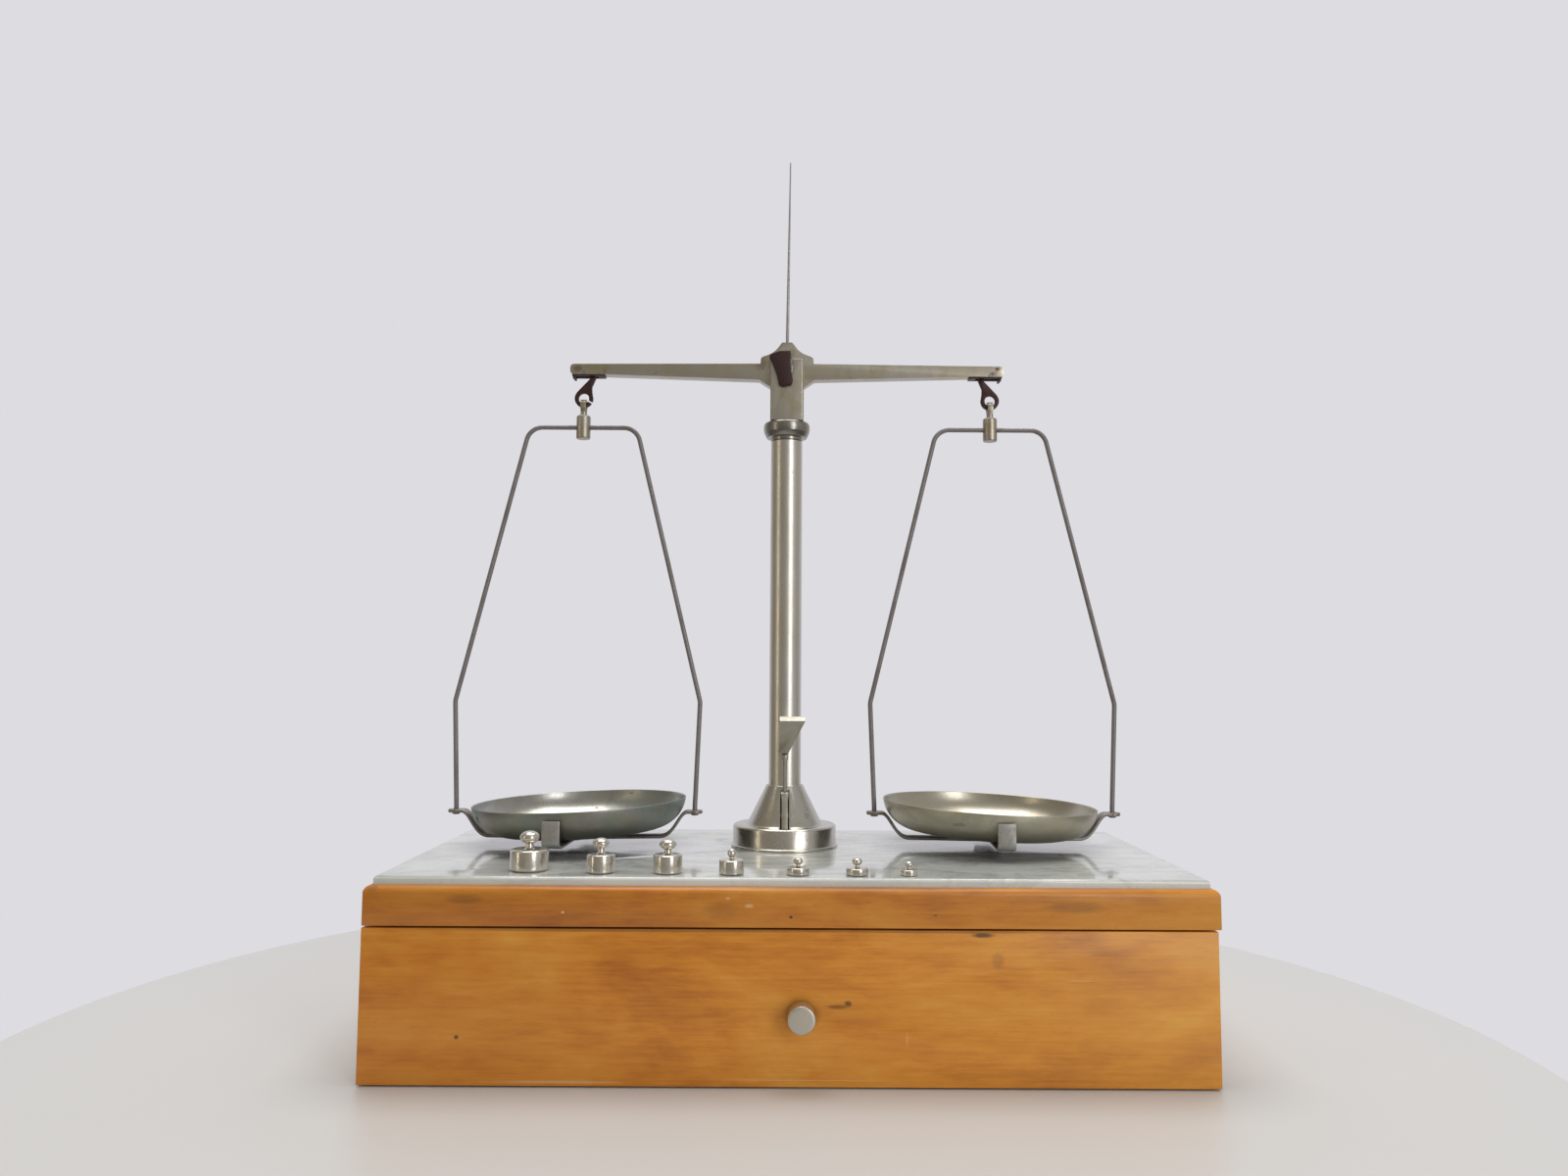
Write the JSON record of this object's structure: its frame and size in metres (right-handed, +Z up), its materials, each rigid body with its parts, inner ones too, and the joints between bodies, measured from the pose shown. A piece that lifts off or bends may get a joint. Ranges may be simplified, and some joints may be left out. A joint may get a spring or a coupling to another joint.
{
  "type": "two-pan column balance",
  "caption": "Two-pan beam balance on a column with lifting lever, on a marble-topped wooden drawer case, with cylindrical gram weights.",
  "frame": {"origin": "bottom centre of the wooden case, on the surface that it stands on", "axes": "+Z up, +X to the right seen from the drawer side, -Y to the front, the way the drawer opens"},
  "size_m": [0.36, 0.17, 0.4425],
  "materials": {
    "case_wood": "oiled beech, worn satin lacquer",
    "drawer_wood": "oiled beech with a figured face, worn satin lacquer",
    "inner_wood": "bare planed softwood",
    "marble": "polished white marble with grey-green veins",
    "nickel_plate": "nickel-plated brass, satin, slightly yellowed",
    "lever_nickel": "nickel-plated brass, worn dark",
    "beam_nickel": "nickel-plated brass, spotted",
    "knob_nickel": "nickel-plated brass, dull face",
    "steel_fixings": "plain turned steel",
    "hardened_steel": "ground hardened steel",
    "rusted_steel": "thin steel, browned by old rust",
    "wire_steel": "drawn wire and strip, plating worn and lightly rusted",
    "pan_metal_left": "thin plated sheet, blue-green patina",
    "pan_metal_right": "thin plated sheet, warm worn plating",
    "weight_nickel": "turned and polished, nickel-plated"
  },
  "bodies": {
    "case": {"bottom_panel": "inner_wood", "side_panel_left": "case_wood", "side_panel_right": "case_wood", "back_panel": "case_wood", "top_rail_front": "case_wood", "top_rail_back": "case_wood", "top_rail_left": "case_wood", "top_rail_right": "case_wood", "support_board": "inner_wood", "marble_slab": "marble", "column_foot": "nickel_plate", "foot_stud": "steel_fixings", "foot_washer": "steel_fixings", "foot_nut": "steel_fixings", "column_tube": "nickel_plate", "column_collar": "nickel_plate", "lever_pin": "steel_fixings"},
    "drawer": {"drawer_front": "drawer_wood", "drawer_side_left": "inner_wood", "drawer_side_right": "inner_wood", "drawer_back": "inner_wood", "drawer_bottom": "inner_wood", "drawer_knob": "knob_nickel", "knob_screw": "steel_fixings"},
    "lever": {"lever_arm": "lever_nickel", "lever_stem": "lever_nickel", "thumb_piece": "lever_nickel"},
    "lift_head": {"lift_rod": "steel_fixings", "beam_fork": "nickel_plate", "knife_bearings": "hardened_steel", "pivot_cover": "rusted_steel"},
    "beam": {"balance_beam": "beam_nickel", "pointer_needle": "steel_fixings", "centre_knife": "hardened_steel", "end_knives": "hardened_steel", "hook_guards": "rusted_steel"},
    "hook_left": {"pan_hook_left": "rusted_steel"},
    "eye_left": {"swivel_eye_left": "nickel_plate"},
    "stirrup_left": {"swivel_boss_left": "nickel_plate", "stirrup_wire_left": "wire_steel", "cradle_strap_left": "wire_steel", "cradle_arm_left": "wire_steel", "cradle_rivet_left": "wire_steel"},
    "pan_left_body": {"pan_left": "pan_metal_left"},
    "hook_right": {"pan_hook_right": "rusted_steel"},
    "eye_right": {"swivel_eye_right": "nickel_plate"},
    "stirrup_right": {"swivel_boss_right": "nickel_plate", "stirrup_wire_right": "wire_steel", "cradle_strap_right": "wire_steel", "cradle_arm_right": "wire_steel", "cradle_rivet_right": "wire_steel"},
    "pan_right_body": {"pan_right": "pan_metal_right"},
    "weight_20g_body": {"weight_20g": "weight_nickel"},
    "weight_10g_left_body": {"weight_10g_left": "weight_nickel"},
    "weight_10g_right_body": {"weight_10g_right": "weight_nickel"},
    "weight_5g_body": {"weight_5g": "weight_nickel"},
    "weight_2g_left_body": {"weight_2g_left": "weight_nickel"},
    "weight_2g_right_body": {"weight_2g_right": "weight_nickel"},
    "weight_1g_body": {"weight_1g": "weight_nickel"}
  },
  "joints": [
    {"name": "drawer_slide", "type": "slide", "parent": "case", "child": "drawer", "axis": [0, -1, 0], "range_m": [0, 0.11]},
    {"name": "beam_lift", "type": "slide", "parent": "case", "child": "lift_head", "axis": [0, 0, 1], "range_m": [0, 0.005]},
    {"name": "lever_tilt", "type": "hinge", "parent": "case", "child": "lever", "pos_m": [-0.003, 0.00601, 0.101], "axis": [1, 0, 0], "range_deg": [0, 23]},
    {"name": "beam_swing", "type": "hinge", "parent": "lift_head", "child": "beam", "pos_m": [-0.003, 0.0183, 0.331], "axis": [0, 1, 0], "range_deg": [-0.8, 0.8]},
    {"name": "hook_swing_left", "type": "hinge", "parent": "beam", "child": "hook_left", "pos_m": [-0.109, 0.0183, 0.3286], "axis": [0, 1, 0], "range_deg": [-1.5, 1.5]},
    {"name": "eye_tilt_left", "type": "hinge", "parent": "hook_left", "child": "eye_left", "pos_m": [-0.109, 0.0183, 0.3123], "axis": [1, 0, 0], "range_deg": [-1, 1]},
    {"name": "stirrup_swivel_left", "type": "hinge", "parent": "eye_left", "child": "stirrup_left", "pos_m": [-0.109, 0.0183, 0.3016], "axis": [0, 0, 1], "range_deg": [-30, 30]},
    {"name": "pan_lift_off_left", "type": "slide", "parent": "stirrup_left", "child": "pan_left_body", "axis": [0, 0, 1], "range_m": [0, 0.04]},
    {"name": "hook_swing_right", "type": "hinge", "parent": "beam", "child": "hook_right", "pos_m": [0.103, 0.0183, 0.3286], "axis": [0, 1, 0], "range_deg": [-1.5, 1.5]},
    {"name": "eye_tilt_right", "type": "hinge", "parent": "hook_right", "child": "eye_right", "pos_m": [0.103, 0.0183, 0.3123], "axis": [1, 0, 0], "range_deg": [-1, 1]},
    {"name": "stirrup_swivel_right", "type": "hinge", "parent": "eye_right", "child": "stirrup_right", "pos_m": [0.103, 0.0183, 0.3016], "axis": [0, 0, 1], "range_deg": [-30, 30]},
    {"name": "pan_lift_off_right", "type": "slide", "parent": "stirrup_right", "child": "pan_right_body", "axis": [0, 0, 1], "range_m": [0, 0.04]},
    {"name": "weight_20g_lift_off", "type": "slide", "parent": "case", "child": "weight_20g_body", "axis": [0, 0, 1], "range_m": [0, 0.03]},
    {"name": "weight_10g_left_lift_off", "type": "slide", "parent": "case", "child": "weight_10g_left_body", "axis": [0, 0, 1], "range_m": [0, 0.03]},
    {"name": "weight_10g_right_lift_off", "type": "slide", "parent": "case", "child": "weight_10g_right_body", "axis": [0, 0, 1], "range_m": [0, 0.03]},
    {"name": "weight_5g_lift_off", "type": "slide", "parent": "case", "child": "weight_5g_body", "axis": [0, 0, 1], "range_m": [0, 0.03]},
    {"name": "weight_2g_left_lift_off", "type": "slide", "parent": "case", "child": "weight_2g_left_body", "axis": [0, 0, 1], "range_m": [0, 0.03]},
    {"name": "weight_2g_right_lift_off", "type": "slide", "parent": "case", "child": "weight_2g_right_body", "axis": [0, 0, 1], "range_m": [0, 0.03]},
    {"name": "weight_1g_lift_off", "type": "slide", "parent": "case", "child": "weight_1g_body", "axis": [0, 0, 1], "range_m": [0, 0.03]}
  ],
  "couplings": [
    {"joint": "lever_tilt", "follows": "beam_lift", "rad_per_m": 80.28}
  ]
}
